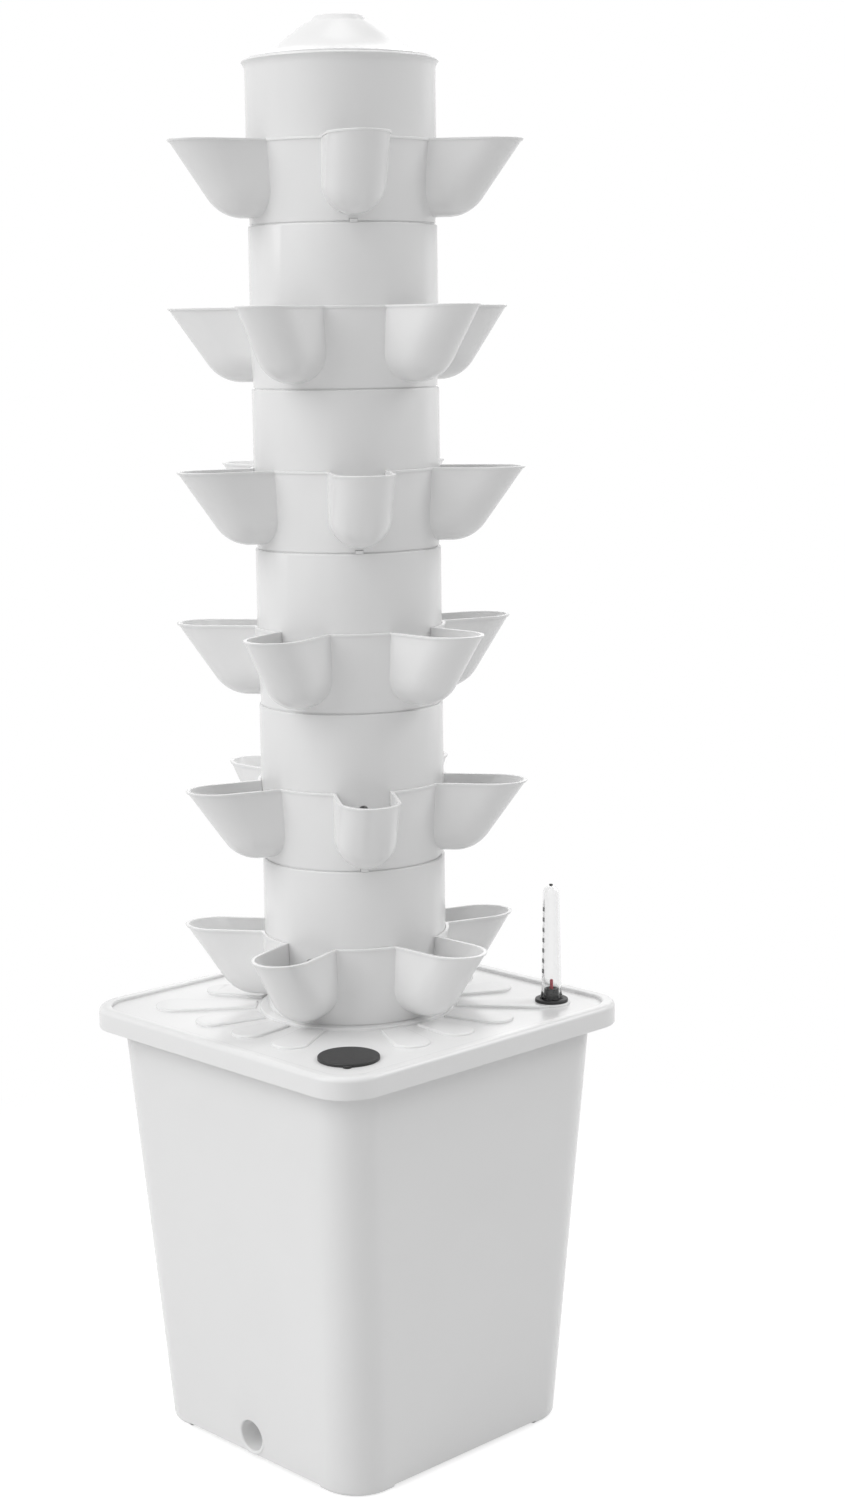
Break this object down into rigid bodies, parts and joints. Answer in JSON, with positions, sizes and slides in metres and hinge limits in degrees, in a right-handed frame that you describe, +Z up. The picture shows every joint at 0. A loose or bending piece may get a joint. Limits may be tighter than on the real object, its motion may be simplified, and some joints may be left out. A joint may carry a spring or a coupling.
{
  "type": "hydroponic tower",
  "caption": "Free-standing hydroponic tower: stacked planting tiers with leaning cups on a tapered square water tank, with a level gauge, filler cap, pump and riser",
  "frame": {"origin": "on the floor, under the middle of the tank", "axes": "+Z up along the tower, the drain faces -Y, the filler cap and the gauge are on the +X side"},
  "size_m": [0.26, 0.26, 0.926],
  "materials": {
    "white_plastic": "satin moulded white plastic",
    "black_plastic": "matte black moulded plastic",
    "clear_plastic": "clear moulded plastic",
    "red_plastic": "red plastic",
    "white_foam": "closed-cell foam",
    "white_pvc": "extruded white pipe",
    "pump_plastic": "black moulded plastic",
    "grey_rubber": "soft grey rubber",
    "steel": "ground stainless steel"
  },
  "bodies": {
    "reservoir": {"reservoir": "white_plastic", "pump_body": "pump_plastic", "pump_cover": "pump_plastic", "pump_shaft": "steel", "pump_outlet": "pump_plastic", "pump_foot_1": "grey_rubber", "pump_foot_2": "grey_rubber", "pump_foot_3": "grey_rubber", "pump_foot_4": "grey_rubber", "riser_pipe_1": "white_pvc", "riser_pipe_2": "white_pvc", "riser_pipe_3": "white_pvc", "riser_pipe_4": "white_pvc", "riser_coupler_1": "white_pvc", "riser_coupler_2": "white_pvc", "riser_coupler_3": "white_pvc"},
    "drain_plug": {"drain_plug": "white_plastic", "drain_seal": "grey_rubber"},
    "impeller": {"pump_impeller": "pump_plastic"},
    "lid": {"reservoir_lid": "white_plastic", "gauge_collar": "black_plastic", "gauge_tube": "clear_plastic", "gauge_vent": "black_plastic", "float_cage": "white_plastic"},
    "filler_cap": {"filler_cap": "black_plastic"},
    "float": {"gauge_float": "white_foam", "gauge_stem": "red_plastic"},
    "drip_tray": {"drip_tray": "white_plastic"},
    "top_cap": {"top_cap": "white_plastic"},
    "tier_1": {"tier_1_ring": "white_plastic", "tier_1_tube": "white_plastic"},
    "tier_2": {"tier_2_ring": "white_plastic", "tier_2_tube": "white_plastic"},
    "tier_3": {"tier_3_ring": "white_plastic", "tier_3_tube": "white_plastic"},
    "tier_4": {"tier_4_ring": "white_plastic", "tier_4_tube": "white_plastic"},
    "tier_5": {"tier_5_ring": "white_plastic", "tier_5_tube": "white_plastic"},
    "tier_6": {"tier_6_ring": "white_plastic", "tier_6_tube": "white_plastic"}
  },
  "joints": [
    {"name": "drain_pull", "type": "slide", "parent": "reservoir", "child": "drain_plug", "axis": [0, -1, 0], "range_m": [0, 0.03]},
    {"name": "impeller_spin", "type": "hinge", "parent": "reservoir", "child": "impeller", "pos_m": [0, 0, 0.0336], "axis": [0, 1, 0], "continuous": true},
    {"name": "lid_lift", "type": "slide", "parent": "reservoir", "child": "lid", "axis": [0, 0, 1], "range_m": [0, 0.1]},
    {"name": "filler_cap_lift", "type": "slide", "parent": "lid", "child": "filler_cap", "axis": [0, 0, 1], "range_m": [0, 0.04]},
    {"name": "float_rise", "type": "slide", "parent": "lid", "child": "float", "axis": [0, 0, 1], "range_m": [0, 0.058]},
    {"name": "tier_6_lift", "type": "slide", "parent": "lid", "child": "tier_6", "axis": [0, 0, 1], "range_m": [0, 0.04]},
    {"name": "tier_5_lift", "type": "slide", "parent": "tier_6", "child": "tier_5", "axis": [0, 0, 1], "range_m": [0, 0.04]},
    {"name": "tier_4_lift", "type": "slide", "parent": "tier_5", "child": "tier_4", "axis": [0, 0, 1], "range_m": [0, 0.04]},
    {"name": "tier_3_lift", "type": "slide", "parent": "tier_4", "child": "tier_3", "axis": [0, 0, 1], "range_m": [0, 0.04]},
    {"name": "tier_2_lift", "type": "slide", "parent": "tier_3", "child": "tier_2", "axis": [0, 0, 1], "range_m": [0, 0.04]},
    {"name": "tier_1_lift", "type": "slide", "parent": "tier_2", "child": "tier_1", "axis": [0, 0, 1], "range_m": [0, 0.04]},
    {"name": "drip_tray_lift", "type": "slide", "parent": "tier_1", "child": "drip_tray", "axis": [0, 0, 1], "range_m": [0, 0.03]},
    {"name": "top_cap_lift", "type": "slide", "parent": "drip_tray", "child": "top_cap", "axis": [0, 0, 1], "range_m": [0, 0.04]}
  ]
}
